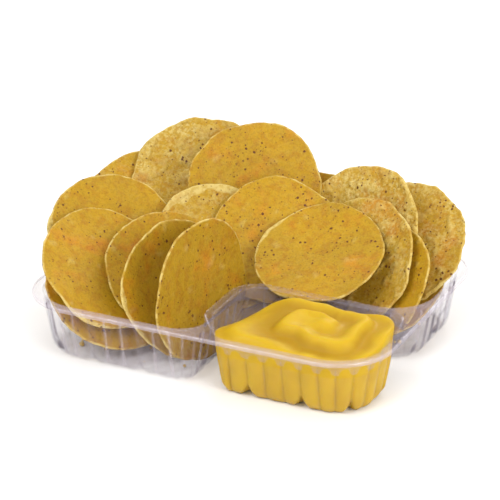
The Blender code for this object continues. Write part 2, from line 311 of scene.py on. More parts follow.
def corn_material(chips):
    """Fried corn: golden to olive, with toasted patches, pale irregular rims and dark specks."""
    shader = Shader("Fried corn")
    noise, ranged, mix, attribute = shader.noise, shader.ranged, shader.mix, shader.attribute
    broad = ranged(noise(26 * MM, 2.0, 0.3), 0.36, 0.64, -0.3, 0.3)
    tone = shader.math("ADD", attribute("tone"), broad)
    base = mix(ranged(tone, 0.0, 1.0), chips.golden, chips.olive)
    patches = ranged(noise(20 * MM, 2.5, 1.7, 0.6), 0.53, 0.74, 0.0, 0.75)
    base = mix(patches, base, chips.toasted)
    smudges = ranged(noise(5 * MM, 4.0, 2.9, 0.66), 0.45, 0.64, 0.0, 0.75)
    base = mix(smudges, base, (0.86, 0.70, 0.62), "MULTIPLY")
    areas = ranged(noise(20 * MM, 2.0, 7.7), 0.40, 0.60, 0.35, 0.85)
    pale = shader.math("MULTIPLY", attribute("pale"), areas)
    mottle = ranged(noise(2.0 * MM, 2.5, 3.1, 0.6), 0.40, 0.68, 0.15, 1.0)
    base = mix(shader.math("MULTIPLY", mottle, pale), base, chips.cream)
    blister = shader.math("MULTIPLY", attribute("blister"), 0.22)
    base = mix(blister, base, chips.cream)
    grain = ranged(noise(1.1 * MM, 3.0, 5.9, 0.7), 0.32, 0.68, 0.82, 1.12)
    base = mix(1.0, base, mix(grain, (0.0, 0.0, 0.0), (1.0, 1.0, 1.0)), "MULTIPLY")
    worn = ranged(noise(5 * MM, 4.0, 8.3, 0.65), 0.40, 0.66, 0.10, 0.90)
    base = mix(shader.math("MULTIPLY", attribute("rim"), worn), base, chips.cream)
    # Pale lips: the curled edge's own cream colour with painted light from the upper left
    curd = ranged(noise(2.4 * MM, 3.0, 14.1, 0.6), 0.36, 0.62, 0.45, 1.0)
    base = mix(shader.math("MULTIPLY", attribute("lip"), curd), base, chips.cream)
    ragged = ranged(noise(0.7 * MM, 2.0, 11.3), 0.25, 0.75, -0.10, 0.10, "LINEAR")
    crowd = ranged(noise(15 * MM, 2.0, 12.9), 0.36, 0.62, 0.45, 1.15)
    for spacing, reach, shift, strength in ((2.5 * MM, 0.36, 2.2, 0.95), (1.7 * MM, 0.32, 6.4, 0.60)):
        distance, pick = shader.cells(spacing, shift)
        distance = shader.math("ADD", distance, ragged)
        radius = shader.math("MULTIPLY", ranged(pick, 0.30, 1.0, 0.0, reach), crowd)
        inner = shader.math("MULTIPLY", radius, 0.55)
        speck = ranged(distance, radius, inner, 0.0, strength)
        base = mix(speck, base, chips.speck)
    pits = shader.math("ADD", noise(0.9 * MM, 3.0, 4.4, 0.6), shader.math("MULTIPLY", mottle, 0.5))
    shader.bump(pits, 0.45, 0.22 * MM)
    rough = ranged(noise(3 * MM, 2.0, 9.1), 0.3, 0.7, 0.48, 0.68)
    return shader.finish(Base_Color=base, Roughness=rough, Specular_IOR_Level=0.25)


def cheese_material(cheese):
    """Warm cheese sauce: smooth and satin, with painted shade darkening its folds and sides, light passes
    into it.
    """
    shader = Shader("Cheese sauce")
    clouds = shader.ranged(shader.noise(12 * MM, 2.0, 1.1), 0.4, 0.65, 0.0, 0.25)
    # depth is the share of painted shade, in the folds and on the sides
    depth = shader.math("ADD", shader.attribute("depth"), clouds)
    base = shader.mix(shader.ranged(depth, 0.0, 1.1), cheese.base, cheese.fold_shade_colour)
    shader.bump(shader.noise(5 * MM, 3.0, 2.0), 0.15, 0.4 * MM)
    rough = shader.ranged(shader.noise(9 * MM, 2.0, 3.0), 0.35, 0.65, 0.44, 0.56)
    shader.surface.inputs["Subsurface Radius"].default_value = (1.0, 0.45, 0.08)
    return shader.finish(Base_Color=base, Roughness=rough, Subsurface_Weight=0.25,
                         Subsurface_Scale=2 * MM, Specular_IOR_Level=0.22)


def tray_material(tray):
    """Thin clear formed plastic: a faint lilac veil, with painted highlights along its grooves and edges."""
    shader = Shader("Clear formed plastic")
    haze = shader.attribute("haze")
    streaks = shader.ranged(shader.noise(4 * MM, 2.0, 1.3), 0.34, 0.62, 0.55, 1.0)
    # Painted highlight lines, broken up by streaks; the film is also made more opaque along them
    line = shader.math("MULTIPLY", shader.attribute("glint_line"), streaks)
    base = shader.mix(line, shader.mix(haze, tray.veil, tray.frost), tray.pale)
    sheen = shader.nodes.new("ShaderNodeLayerWeight")
    sheen.inputs["Blend"].default_value = 0.25
    grazing = shader.math("MULTIPLY", sheen.outputs["Fresnel"], 0.05)
    cover = shader.math("ADD", shader.math("MULTIPLY", haze, 0.17), 0.008)
    alpha = shader.math("ADD", shader.math("ADD", cover, grazing), shader.math("MULTIPLY", line, 0.42))
    shader.bump(shader.noise(5 * MM, 2.0, 1.3), 0.06, 0.4 * MM)
    alpha = shader.ranged(alpha, 0.0, 1.0, shape="LINEAR")
    return shader.finish(Base_Color=base, Alpha=alpha, Roughness=0.10, Specular_IOR_Level=0.9)


# --- tray -------------------------------------------------
def direction(angle):
    return np.array((math.cos(angle), math.sin(angle)))


class Outline:
    """A closed outline of straight runs and round corners, with a whole number of flutes.

    places and normals are its points and outward directions, flutes counts the flutes up to
    each point, band is the height of the plain band above them and notch the depth of the
    notches in the foot.
    """

    FINE = 12

    def __init__(self, corners, pitch, band, notch):
        self.band = band
        self.notch = notch
        places, normals = [], []
        arcs = [self.arc(corners, index) for index in range(len(corners))]
        for index, (middle, radius, start, side) in enumerate(arcs):
            steps = self.FINE * max(1, round(radius * math.pi / 2 / pitch))
            for step in range(steps):
                normal = direction(start + side * math.pi / 2 * step / steps)
                places.append(middle + radius * normal)
                normals.append(side * normal)
            normal = direction(start + side * math.pi / 2)
            here = middle + radius * normal
            middle, radius, start, _ = arcs[(index + 1) % len(arcs)]
            there = middle + radius * direction(start)
            steps = self.FINE * max(1, round(float(np.linalg.norm(there - here)) / pitch))
            for step in range(steps):
                places.append(here + (there - here) * step / steps)
                normals.append(side * normal)
        self.places = np.array(places)
        self.normals = np.array(normals)
        self.flutes = np.arange(len(places)) / self.FINE

    @staticmethod
    def arc(corners, index):
        """Middle, radius, start angle and turn, 1 left or -1 right, of one corner's arc."""
        steps = (-1, 0, 1)
        before, here, after = (np.array(corners[(index + step) % len(corners)][:2]) for step in steps)
        arrive = (here - before) / np.linalg.norm(here - before)
        leave = (after - here) / np.linalg.norm(after - here)
        radius = corners[index][2]
        side = 1 if arrive[0] * leave[1] - arrive[1] * leave[0] > 0 else -1
        towards = arrive - leave
        start = math.atan2(towards[1], towards[0]) - side * math.pi / 4
        return here + radius * (leave - arrive), radius, start, side

    def ring(self, push, height):
        """The outline moved out by push, at a height; each may vary along it."""
        flat = self.places + self.normals * np.broadcast_to(push, len(self.places))[:, None]
        return np.column_stack((flat, np.broadcast_to(height, len(flat))))


class TrayShape:
    """The tray's outlines and the profile of its pocket walls."""

    POCKET_CORNER = 28 * MM      # radius of the chip pocket's outer corners
    CUP_CORNER = 11 * MM         # radius of the cheese pocket's corners
    CUP_FRONT_CORNER = 26 * MM   # radius of its corner at the tray's own corner
    WEB = 7 * MM                 # flat web between the pockets at the front
    WEB_DEPTH = 21 * MM          # flat web between the pockets at the right
    SHOULDER_RUN = 1.4 * MM      # height over which the shoulder steps in
    FLUTE_RUN = 2.0 * MM         # height over which a flute's top rounds off
    FLUTE_POWER = 0.62           # below 1, for full flutes with narrow grooves
    NOTCH_SPREAD = 0.55          # half a notch's width at the table, in flutes
    NOTCH_EDGE = 2.2             # how steeply a notch's sides go in
    DAM_FOOT = 0.9 * MM          # flare where the dam meets the web
    DAM_ROUND = 0.9 * MM         # rounding of the dam's top edges
    FLAT_EDGE = 2.7 * MM         # the dam keeps this far in from the rim's edge

    def __init__(self, tray):
        self.tray = tray
        edge_bead = 0.3 * MM
        self.right = (TRAY_HIGH.x - TRAY_LOW.x) / 2 - tray.flange - edge_bead
        self.back = (TRAY_HIGH.y - TRAY_LOW.y) / 2 - tray.flange - edge_bead
        self.rim_level = tray.height - tray.sheet

    def outline(self, corners, pitch, band=0.0, notch=0.0):
        places = [(x + MIDDLE.x, y + MIDDLE.y, radius) for x, y, radius in corners]
        return Outline(places, pitch, band, notch)

    def cup(self):
        tray = self.tray
        left, right, front = tray.cup_left, self.right, -self.back
        back = front + tray.cup_depth
        corners = ((left, front, self.CUP_CORNER), (right, front, self.CUP_FRONT_CORNER),
                   (right, back, self.CUP_CORNER), (left, back, self.CUP_CORNER))
        return self.outline(corners, tray.flute_pitch, tray.cup_band, tray.cup_notch)

    def chip_pocket(self):
        tray = self.tray
        web_left = tray.cup_left - self.WEB
        web_back = -self.back + tray.cup_depth + self.WEB_DEPTH
        right, back, round_corner = self.right, self.back, self.POCKET_CORNER
        corners = ((-right, -back, round_corner), (web_left, -back, 15 * MM),
                   (web_left, web_back, 16 * MM), (right, web_back, 24 * MM),
                   (right, back, round_corner), (-right, back, round_corner))
        return self.outline(corners, tray.flute_pitch, tray.band, tray.notch_depth)

    def rim(self):
        right, back = self.right + self.tray.flange, self.back + self.tray.flange
        corners = ((-right, -back), (right, -back), (right, back), (-right, back))
        corners = [(x, y, self.tray.corner) for x, y in corners]
        return self.outline(corners, 1.5 * self.tray.flute_pitch)

    def dam_share(self, outline):
        """1 on the dam and 0 where the cup's edge is plain rim, sloping at the dam's ends."""
        x = outline.places[:, 0] - MIDDLE.x
        from_front = outline.places[:, 1] - MIDDLE.y + self.back
        left_leg = smooth_step((from_front - 2.5 * MM) / (5 * MM))
        right_leg = smooth_step((from_front - self.tray.cup_depth + 11 * MM) / (6 * MM))
        return np.where(x < self.tray.cup_left + 22 * MM, left_leg, right_leg)

    def lean(self, outline, height):
        """How far a wall has come in at a height, down to the foot."""
        tray = self.tray
        shoulder_top = tray.height - outline.band + 0.6 * MM
        draft = tray.draft * np.clip(1 - height / tray.height, 0.0, 1.0)
        return draft + tray.shoulder * smooth_step((shoulder_top - height) / self.SHOULDER_RUN)

    def wall(self, outline, height, inset=0.0):
        """One level of a fluted pocket wall, inset from the sheet's outer face."""
        tray = self.tray
        top = tray.height - outline.band
        low = max(0.0, 1 - height / tray.foot)
        lean = self.lean(outline, height) + tray.foot_tuck * (1 - math.sqrt(1 - low * low))
        bulge = np.abs(np.sin(np.pi * outline.flutes)) ** self.FLUTE_POWER
        arch = top - tray.flute_arch * (1 - bulge)
        swell = smooth_step((arch - height) / self.FLUTE_RUN) * (1 - 0.65 * low ** 2)
        count = outline.flutes[-1] + 1 / outline.FINE
        notches = np.append(np.arange(0, count, tray.notch_every), count)
        away = np.abs(outline.flutes[:, None] - notches).min(1)
        into_notch = 1 - height / tray.notch_height - away / self.NOTCH_SPREAD
        notch = outline.notch * smooth_step(self.NOTCH_EDGE * into_notch)
        return outline.ring(tray.flute_depth * bulge * swell - notch - lean - inset, height)

    def wall_levels(self, band):
        """Heights at which a wall needs a ring: close at the shoulder and the foot."""
        top = self.tray.height - band
        steps = (0.7, 0.2, -0.3, -0.8, -1.3, -1.8, -2.4, -3.0, -3.6, -4.2)
        shoulder = [top + step * MM for step in steps]
        plain = np.linspace(top - 5.0 * MM, self.tray.foot, 8)
        foot = self.tray.foot * (1 - np.sin(np.linspace(0.12, 1, 10) * math.pi / 2))
        return [*shoulder, *plain, *foot]

    def dam(self, outline):
        """Rings from the web up the hollow dam's outside, over it and down its inside.

        A row of profile says how far out a ring lies, how high, and which way it waves.
        """
        tray = self.tray
        dam = self.dam_share(outline)
        wave = 0.12 * MM * np.cos(math.tau * outline.flutes)
        width, rise, foot, top_round = tray.dam_width, tray.dam_rise, self.DAM_FOOT, self.DAM_ROUND
        profile = ((width + foot, 0.0, 0), (width + 0.5 * foot, 0.25 * MM, 0),
                   (width + 0.3 * foot, 1.2 * MM, 0.3), (width + 0.05 * foot, rise - 1.0 * MM, 1),
                   (width - 0.25 * MM, rise - 0.25 * MM, 1), (width - top_round, rise, 1),
                   (top_round, rise, -1), (0.25 * MM, rise - 0.25 * MM, -1),
                   (0.0, rise - 1.0 * MM, -1), (0.0, 0.5 * rise, -0.3))
        rings = []
        towards_right = outline.normals[:, 0]
        flat_end = MIDDLE.x + self.right + tray.flange - self.FLAT_EDGE
        room = (flat_end - outline.places[:, 0]) / np.maximum(towards_right, 0.2)
        room[towards_right <= 0.2] = math.inf
        for index, (reach, lift, waving) in enumerate(profile):
            flare = (1 - index / (len(profile) - 1)) ** 2
            push = 0.45 * MM * flare + (reach + waving * wave) * dam
            push = np.minimum(push, room - 0.05 * MM * index)
            sink = 0.5 * MM * (1 - math.sqrt(flare)) * (1 - dam)
            rings.append(outline.ring(push, self.rim_level + lift * dam - sink))
        return rings


WEB_HAZE = 0.30


def mark_wall(bm, rings, outline, tray, lines, band_haze):
    """Painted highlight streaks down each groove and on the flute tops under the band, and haze: a little all
    over, more at the band and foot.
    """
    away = np.abs(outline.flutes - np.round(outline.flutes))
    fade = 0.65 + 0.35 * np.sin(1.9 * np.round(outline.flutes))
    groove_glint = smooth_step(1 - away / 0.11) * fade
    top = tray.height - outline.band
    # creases holds the strength of the painted highlights, ring by ring
    creases, hazes = [], []
    for ring in rings:
        height = ring[0].co.z
        band = float(smooth_step((height - top + 2 * MM) / (2 * MM)))
        foot = float(smooth_step(1 - height / tray.foot))
        # Painted highlights on the rounded flute tops under the band
        shoulder = math.exp(-((height - top) / (0.7 * MM)) ** 2)
        creases.append(np.clip(lines * groove_glint * (1 - 0.7 * band - 0.4 * foot) + 0.18 * shoulder, 0, 1))
        hazes.append(0.13 + band_haze * band + 0.15 * foot)
    mark(bm, rings, "glint_line", creases)
    mark(bm, rings, "haze", hazes)


def mark_dam(bm, rings, outline, dam):
    """The dam is clear but for a broken painted highlight along its top; the rest is plain rim with painted
    highlights along its edges.
    """
    glint_dashes = 0.35 + 0.65 * (np.sin(2.3 * math.tau * outline.flutes) > -0.35)
    top_glint = (0, 0, 0, 0, 1.0, 0, 0, 0.2, 0, 0)
    rim_glint = (0, 0, 0, 0, 0.1, 0.1, 0.2, 0.4, 0.4, 0.1)
    mark(bm, rings, "glint_line", [dam * glint_dashes * on_dam + (1 - dam) * on_rim
                               for on_dam, on_rim in zip(top_glint, rim_glint)])
    mark(bm, rings, "haze", [WEB_HAZE] + [0.40 * (1 - dam) for _ in rings[1:]])


def build_tray(tray):
    """The underside of the formed sheet, thickened upwards."""
    shape = TrayShape(tray)
    bm = bmesh.new()
    for name in ("glint_line", "haze"):
        bm.verts.layers.float.new(name)
    rim_level = shape.rim_level
    rim, cup, pocket = shape.rim(), shape.cup(), shape.chip_pocket()
    # The rim's rolled edge in millimetres: how far in from the edge, and how high.
    lip = ((2.3, 0.0), (1.9, 0.12), (1.5, 0.30), (1.1, 0.36), (0.75, 0.28), (0.5, 0.05),
           (0.36, -0.3), (0.3, -0.7), (0.3, -1.1))
    # Painted highlights along the rolled edge, row by row
    lip_glint = (0, 0, 0, 0.05, 0.2, 0.6, 0.3, 0.1, 0.5)
    edge = loft(bm, [rim.ring(-inset * MM, rim_level + lift * MM) for inset, lift in lip], turned=True)
    mark(bm, edge, "glint_line", lip_glint)
    mark(bm, edge, "haze", [0.55] * len(edge))
    dam = shape.dam(cup)
    cup_rings = loft(bm, dam + [shape.wall(cup, height) for height in shape.wall_levels(cup.band)])
    mark_dam(bm, cup_rings[:len(dam)], cup, shape.dam_share(cup))
    mark_wall(bm, cup_rings[len(dam):], cup, tray, lines=0.22, band_haze=0.55)
    mouth = [pocket.ring(push * MM, rim_level - drop * MM)
             for push, drop in ((0.45, 0.0), (0.2, 0.05), (0.05, 0.2), (0.0, 0.5))]
    walls = [shape.wall(pocket, height) for height in shape.wall_levels(pocket.band)]
    pocket_rings = loft(bm, mouth + walls)
    # Painted highlights along the chip pocket's mouth
    mark(bm, pocket_rings, "glint_line", (0.0, 0.3, 0.6, 0.2))
    mark(bm, pocket_rings, "haze", (WEB_HAZE, 0.35, 0.35, 0.3))
    mark_wall(bm, pocket_rings[len(mouth):], pocket, tray, lines=0.75, band_haze=0.10)
    fill_flat(bm, [edge[0], cup_rings[0], pocket_rings[0]])
    fill_flat(bm, [cup_rings[-1]])
    fill_flat(bm, [pocket_rings[-1]])
    mesh = finished_mesh(bm, "clear_tray")
    mesh.shade_smooth()
    raw = new_object("tray_surface", mesh)
    solidify = raw.modifiers.new("Sheet", "SOLIDIFY")
    solidify.thickness = tray.sheet
    solidify.offset = -1.0
    piece = made_plain(raw, "clear_tray")
    piece.data.set_sharp_from_angle(angle=math.radians(50))
    piece.data.materials.append(tray_material(tray))
    hand_in(piece, "clear_plastic", "tray")


# --- cheese -----------------------------------------------
def swirl(cheese, tray, x, y, reach, middle, front):
    """Height of the cheese and how much painted shade its fold gets, 0 to 1.

    reach is 0 at the swirl's tip and 1 at the pocket wall.
    """
    angle = np.arctan2(y - middle[1], x - middle[0])
    level = cheese.edge + cheese.slope * (y - front)
    leftness = smooth_step(1 - (x - MIDDLE.x - tray.cup_left) / (1.15 * cheese.dip_reach))
    backness = smooth_step((y - front - 9 * MM) / (tray.cup_depth - 14 * MM))
    level = level - cheese.dip * leftness * backness
    wander = reach * (1 + 0.08 * np.sin(2 * angle + 0.8) + 0.05 * np.sin(5 * angle + 2.0 * reach))
    phase = cheese.turns * wander - angle / math.tau + 0.55
    part = phase - np.floor(phase)
    fold = np.where(part < 0.70, smooth_step(part / 0.70) ** 1.3, smooth_step((1 - part) / 0.30))
    fade = np.sin(np.pi * 0.98 * reach) ** 0.6 * smooth_step(reach / 0.32)
    lumps = (np.sin(95 * x + 70 * y) + np.sin(150 * y - 60 * x + 1.0)) * 0.35 * MM
    ragged = np.sin(4 * angle + 1.0) * np.sin(7 * angle) * 0.8 * MM * reach ** 6
    away = np.hypot(x - middle[0], y - middle[1])
    tip = cheese.tip * np.exp(-(away / cheese.tip_width) ** 2)
    peak = cheese.peak * (1 - reach ** 2) ** 1.5
    height = level + peak + cheese.fold * (fold - 0.5) * fade + lumps + ragged + tip
    return height, np.clip((1 - fold) * fade, 0, 1)


def build_cheese(cheese, tray):
    shape = TrayShape(tray)
    cup = shape.cup()
    front = MIDDLE.y - shape.back
    into_wall = 0.5 * tray.sheet
    middle = np.array((MIDDLE.x + 63 * MM, MIDDLE.y - 49 * MM))   # under the swirl's tip
    top_side = tray.height - cup.band - 4.5 * MM
    levels = [height for height in shape.wall_levels(cup.band) if 0.0 < height < top_side - 0.5 * MM]
    sides = [shape.wall(cup, height, into_wall) for height in [top_side, *levels]]
    sides.append(shape.wall(cup, into_wall, into_wall + 0.4 * MM))
    top, fold_shades = [], []
    ring_count = 80
    for step in range(ring_count):
        reach = 1 - step / ring_count
        mouth = cup.ring(-into_wall - 0.25 * MM * (1 - shape.dam_share(cup)), 0.0)[:, :2]
        for _ in range(2):      # the second pass meets the wall where the first found the height
            flat = middle + reach * (mouth - middle)
            height, depth = swirl(cheese, tray, flat[:, 0], flat[:, 1], reach, middle, front)
            mouth = cup.ring(-into_wall - shape.lean(cup, height), 0.0)[:, :2]
        rounded_off = 0.8 * MM * np.exp(-(1 - reach) * 40)
        top.append(np.column_stack((flat, height - rounded_off)))
        fold_shades.append(depth)
    rise = [sides[0] + (top[0] - sides[0]) * part for part in (0.35, 0.7)]
    bm = bmesh.new()
    bm.verts.layers.float.new("depth")
    rings = loft(bm, top[::-1] + rise[::-1] + sides)
    # The sides below the top get a fixed share of painted shade
    mark(bm, rings, "depth", fold_shades[::-1] + [0.25] * (len(rings) - ring_count))
    (tip_height,), _ = swirl(cheese, tray, middle[:1], middle[1:], np.zeros(1), middle, front)
    tip = bm.verts.new((*middle, tip_height))
    for index in range(len(rings[0])):
        bm.faces.new((rings[0][index - 1], rings[0][index], tip))
    fill_flat(bm, [rings[-1]])
    mesh = finished_mesh(bm, "cheese_sauce")
    mesh.shade_smooth()
    piece = new_object("cheese_sauce", mesh)
    mesh.materials.append(cheese_material(cheese))
    hand_in(piece, "cheese", "cheese")


# --- chips ------------------------------------------------
# How pale and blistered a chip's face is, how dull, and how ragged its outline, from 0 to 1.
PALE_FACES = {"chip_top_left": 1.0, "chip_right_back": 0.95, "chip_right_front": 0.7,
              "chip_right_end": 0.75, "chip_tilted": 0.5, "chip_back_left": 0.35}
DULL_FACES = {"chip_front_centre": 0.95, "chip_front_second": 0.65, "chip_behind_cheese": 0.5,
              "chip_top": 0.35, "chip_above_cheese": 0.55, "chip_right_front": 0.5}
RAGGED_EDGES = {"chip_right_end": 0.8, "chip_right_front": 0.6, "chip_floor_left": 0.6,
                "chip_front_left_under": 0.5}
PLAIN_FACE = 0.08
PLAIN_EDGE = 0.45
FIRST_SEED = 31
# A pale curled lip, partly the chip's own cream edge and partly painted rim light on top and left edges: the
# direction of its middle in degrees, 90 at the top, half its spread in degrees, and its width.
LIT_PALE_LIPS = {"chip_tilted": (95, 70, 5 * MM), "chip_above_cheese": (165, 60, 2.2 * MM),
             "chip_left": (170, 40, 2.5 * MM), "chip_front_left": (215, 35, 2.2 * MM),
             "chip_front_second": (190, 40, 2.4 * MM), "chip_right_end": (110, 50, 2.0 * MM)}


class ChipShape:
    """Where a chip node lies, how it curls and its outline, read from the node's mesh."""

    def __init__(self, node):
        corners = np.array([vert.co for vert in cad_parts[node].data.vertices])
        places = np.unique(corners.round(6), axis=0)
        self.middle = places.mean(0)
        _, _, axes = np.linalg.svd(places - self.middle)
        normal = axes[2] * math.copysign(1.0, axes[2][2])
        across = np.cross((0.0, 0.0, 1.0), normal)
        across /= np.linalg.norm(across)
        self.axes = np.array((across, np.cross(normal, across), normal))
        x, y, z = (self.axes @ (places - self.middle).T)
        self.bend = np.linalg.lstsq(self.bend_terms(x, y), z, rcond=None)[0]
        radius = np.hypot(x, y)
        rim = radius > 0.9 * radius.max()
        self.edge = np.linalg.lstsq(self.edge_terms(np.arctan2(y, x)[rim]), radius[rim], rcond=None)[0]

    @staticmethod
    def bend_terms(x, y):
        return np.column_stack((np.ones_like(x), x, y, x * x, x * y, y * y))

    @staticmethod
    def edge_terms(angle):
        waves = [np.ones_like(angle)]
        for order in (1, 2, 3):
            waves += [np.cos(order * angle), np.sin(order * angle)]
        return np.column_stack(waves)

    def place(self, x, y, z):
        return self.middle + np.column_stack((x, y, z)) @ self.axes


def waves_round(angle, rng, orders, size):
    """A small uneven curve round a full turn."""
    result = np.zeros_like(angle)
    for order in orders:
        result += rng.uniform(0.4, 1.0) * np.sin(order * angle + rng.uniform(0, math.tau)) / math.sqrt(order)
    return size * result


def lit_pale_lip(node, angle, from_edge):
    """1 on a chip's pale lip, partly painted rim light, and 0 off it; from_edge is the distance in from the
    outline.
    """
    if node not in LIT_PALE_LIPS:
        return np.zeros_like(angle)
    middle, spread, width = LIT_PALE_LIPS[node]
    turn = np.degrees(angle) - middle
    off = np.abs((turn + 180) % 360 - 180)
    uneven = 1 + 0.25 * np.sin(7 * angle) + 0.15 * np.sin(19 * angle)
    width = width * smooth_step(1.4 * (1 - off / spread)) * uneven
    return 0.8 * smooth_step((width - from_edge) / (0.6 * MM)) * (off < spread)


def build_chip_plate(node, chips, rng):
    """A closed chip with two smooth faces and a round rim, before it is fried."""
    shape = ChipShape(node)
    cells = 84
    run = np.linspace(-1, 1, cells + 1)
    run = run * (1.25 - 0.25 * run * run)
    across, along = (grid.ravel() for grid in np.meshgrid(run, run))
    unit_x = across * np.sqrt(1 - along ** 2 / 2)
    unit_y = along * np.sqrt(1 - across ** 2 / 2)
    reach = np.hypot(unit_x, unit_y)
    angle = np.arctan2(unit_y, unit_x)
    outline = shape.edge_terms(angle) @ shape.edge
    uneven = waves_round(angle, rng, (4, 5, 7, 9, 12), 0.85 * MM)
    ragged = RAGGED_EDGES.get(node, PLAIN_EDGE)
    uneven += waves_round(angle, rng, (17, 23, 31, 43), ragged * 0.9 * MM)
    outline = outline + uneven * smooth_step((reach - 0.5) / 0.5)
    x, y = unit_x * outline, unit_y * outline
    middle_line = shape.bend_terms(x, y) @ shape.bend
    turn = rng.uniform(0, math.pi)
    slant = x * math.cos(turn) + y * math.sin(turn)
    cross = y * math.cos(turn) - x * math.sin(turn)
    ripple = np.sin(slant / (6.5 * MM) + rng.uniform(0, 6))
    ripple += np.sin(cross / (8.5 * MM) + rng.uniform(0, 6))
    middle_line += 0.5 * chips.ripple * ripple * smooth_step(reach * 1.4)
    middle_line += waves_round(angle, rng, (3, 4, 6, 9), chips.warp) * reach ** 4
    size = float(shape.edge[0])
    round_from = 1 - 0.7 * chips.thickness / size
    curve = np.clip((reach - round_from) / (1 - round_from), 0, 1)
    half = chips.thickness / 2 * np.sqrt(np.clip(1 - curve ** 2, 0, 1))
    from_edge = (1 - reach) * size
    rim = smooth_step((1.15 * MM - from_edge) / (0.7 * MM))
    index = np.arange((cells + 1) ** 2).reshape(cells + 1, cells + 1)
    corners = (index[:-1, :-1], index[:-1, 1:], index[1:, 1:], index[1:, :-1])
    quads = np.column_stack([corner.ravel() for corner in corners])
    border = np.ones_like(index, dtype=bool)
    border[1:-1, 1:-1] = False
    lower = index.ravel() + index.size
    lower[border.ravel()] = index.ravel()[border.ravel()]
    places = np.vstack((shape.place(x, y, middle_line + half), shape.place(x, y, middle_line - half)))
    faces = np.vstack((quads, lower[quads[:, ::-1]]))
    keep = np.unique(faces)
    renumber = np.zeros(len(places), int)
    renumber[keep] = np.arange(len(keep))
    mesh = bpy.data.meshes.new(node)
    mesh.from_pydata(places[keep].tolist(), [], renumber[faces].tolist())
    values = {"rim": rim, "lip": lit_pale_lip(node, angle, from_edge),
              "pale": np.full_like(rim, PALE_FACES.get(node, PLAIN_FACE)),
              "tone": np.full_like(rim, DULL_FACES.get(node, rng.uniform(0.0, 0.35)))}
    for name, row in values.items():
        layer = mesh.attributes.new(name, "FLOAT", "POINT")
        layer.data.foreach_set("value", np.tile(row, 2)[keep].astype(np.float32))
    return new_object(node + "_plate", mesh)


class GeometryTree:
    """A Geometry Nodes tree with named inputs, built node by node."""

    def __init__(self, name):
        self.tree = bpy.data.node_groups.new(name, "GeometryNodeTree")
        self.tree.interface.new_socket("Geometry", in_out="INPUT", socket_type="NodeSocketGeometry")
        self.tree.interface.new_socket("Geometry", in_out="OUTPUT", socket_type="NodeSocketGeometry")
        self.keys = {}
        self.start = self.tree.nodes.new("NodeGroupInput")

    def named_inputs(self, kind, *names):
        for name in names:
            socket = self.tree.interface.new_socket(name, in_out="INPUT", socket_type="NodeSocket" + kind)
            self.keys[name] = socket.identifier

    def given(self, name):
        return self.start.outputs[name]

    def node(self, kind, **inputs):
        """A node with its inputs fed: each by its name, or by its place as i0, i1 and so on."""
        node = self.tree.nodes.new(kind)
        self.feed(node, **inputs)
        return node

    def feed(self, node, **inputs):
        for name, value in inputs.items():
            by_place = name[0] == "i" and name[1:].isdigit()
            socket = node.inputs[int(name[1:]) if by_place else name.replace("_", " ")]
            if isinstance(value, bpy.types.NodeSocket):
                self.tree.links.new(value, socket)
            else:
                socket.default_value = value

    def math(self, operation, first, second=0.0):
        node = self.tree.nodes.new("ShaderNodeMath")
        node.operation = operation
        self.feed(node, i0=first, i1=second)
        return node.outputs[0]

    def vector(self, operation, first, second):
        node = self.tree.nodes.new("ShaderNodeVectorMath")
        node.operation = operation
        self.feed(node, i0=first, **({"Scale": second} if operation == "SCALE" else {"i1": second}))
        return node.outputs[0]

    def end(self, geometry, material):
        realize = self.node("GeometryNodeRealizeInstances", Geometry=geometry)
        painted = self.node("GeometryNodeSetMaterial", Geometry=realize.outputs[0], Material=material)
        finish = self.tree.nodes.new("NodeGroupOutput")
        self.tree.links.new(painted.outputs[0], finish.inputs[0])

    def apply(self, piece, name, **values):
        """Runs the tree on piece and returns the plain result."""
        modifier = piece.modifiers.new(self.tree.name, "NODES")
        modifier.node_group = self.tree
        for key, value in values.items():
            modifier[self.keys[key.replace("_", " ")]] = value
        return made_plain(piece, name)


def fried_relief_tree():
    """Pushes blisters and fine pebbling out of a plate's faces, along their normals."""
    tree = GeometryTree("Fried relief")
    tree.named_inputs("Float", "Blister Height", "Blister Size", "Blister Cover", "Pebble Height",
                      "Pebble Size", "Seed")
    tree.named_inputs("Material", "Material")
    position = tree.node("GeometryNodeInputPosition").outputs[0]
    normal = tree.node("GeometryNodeInputNormal").outputs[0]
    shifted = tree.vector("ADD", position, tree.node("ShaderNodeCombineXYZ", X=tree.given("Seed")).outputs[0])

    def noise(size, detail):
        texture = tree.node("ShaderNodeTexNoise", Vector=shifted, Scale=tree.math("DIVIDE", 1.0, size),
                            Detail=detail)
        return texture.outputs[0]

    start = tree.math("SUBTRACT", 0.78, tree.given("Blister Cover"))
    bubble = tree.node("ShaderNodeMapRange", Value=noise(tree.given("Blister Size"), 1.0), From_Min=start,
                       From_Max=tree.math("ADD", start, 0.16))
    bubble.interpolation_type = "SMOOTHERSTEP"
    pebble = tree.math("SUBTRACT", noise(tree.given("Pebble Size"), 3.0), 0.5)
    rim = tree.node("GeometryNodeInputNamedAttribute", Name="rim").outputs[0]
    inside = tree.math("SUBTRACT", 1.0, rim)
    blister_lift = tree.math("MULTIPLY", tree.math("MULTIPLY", bubble.outputs[0], inside),
                             tree.given("Blister Height"))
    lift = tree.math("ADD", blister_lift, tree.math("MULTIPLY", pebble, tree.given("Pebble Height")))
    stored = tree.node("GeometryNodeStoreNamedAttribute", Geometry=tree.given("Geometry"), Name="blister",
                       Value=bubble.outputs[0])
    moved = tree.node("GeometryNodeSetPosition", Geometry=stored.outputs[0],
                      Offset=tree.vector("SCALE", normal, lift))
    smooth = tree.node("GeometryNodeSetShadeSmooth", Geometry=moved.outputs[0])
    tree.end(smooth.outputs[0], tree.given("Material"))
    return tree


